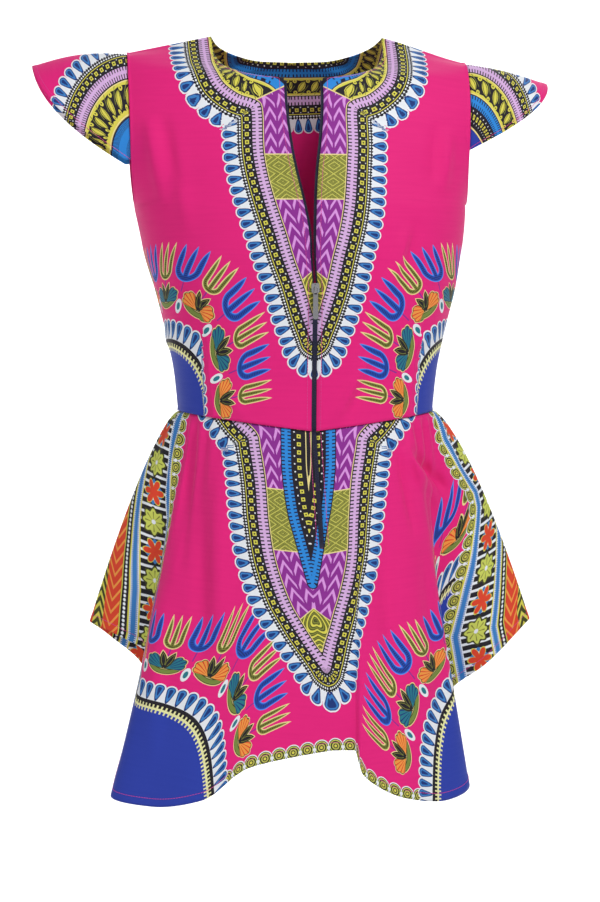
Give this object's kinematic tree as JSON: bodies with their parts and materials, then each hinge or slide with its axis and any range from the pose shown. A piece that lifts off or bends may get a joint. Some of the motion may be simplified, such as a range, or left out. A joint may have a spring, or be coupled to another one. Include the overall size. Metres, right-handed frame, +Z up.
{
  "type": "dashiki-print peplum top",
  "caption": "Fitted cap-sleeved cotton top with a dashiki print, front zip, waist seam and gathered handkerchief-hem peplum, in its worn hollow form.",
  "frame": {"origin": "on the shoulder line, midway between the shoulders, where the garment hangs from its wearer", "axes": "+Z up, -Y to the wearer's front, +X to the wearer's left"},
  "size_m": [0.5603, 0.333, 0.8174],
  "materials": {
    "printed_cotton": "crisp waxed cotton with a printed dashiki pattern on hot pink",
    "zip_tape": "navy woven tape with moulded teeth",
    "zip_metal": "polished silver"
  },
  "bodies": {
    "garment": {"bodice_front_left": "printed_cotton", "bodice_front_right": "printed_cotton", "bodice_back": "printed_cotton", "cap_sleeve_left": "printed_cotton", "cap_sleeve_right": "printed_cotton", "peplum_front": "printed_cotton", "peplum_back": "printed_cotton", "zip_tape_left": "zip_tape", "zip_tape_right": "zip_tape", "zip_chain": "zip_tape", "zip_slider": "zip_metal"},
    "zip_pull": {"pull_tab": "zip_metal"}
  },
  "joints": [
    {"name": "pull_tab_swing", "type": "hinge", "parent": "garment", "child": "zip_pull", "pos_m": [0.00979, -0.12078, -0.25234], "axis": [-1, 0, 0], "range_deg": [0, 150]}
  ]
}
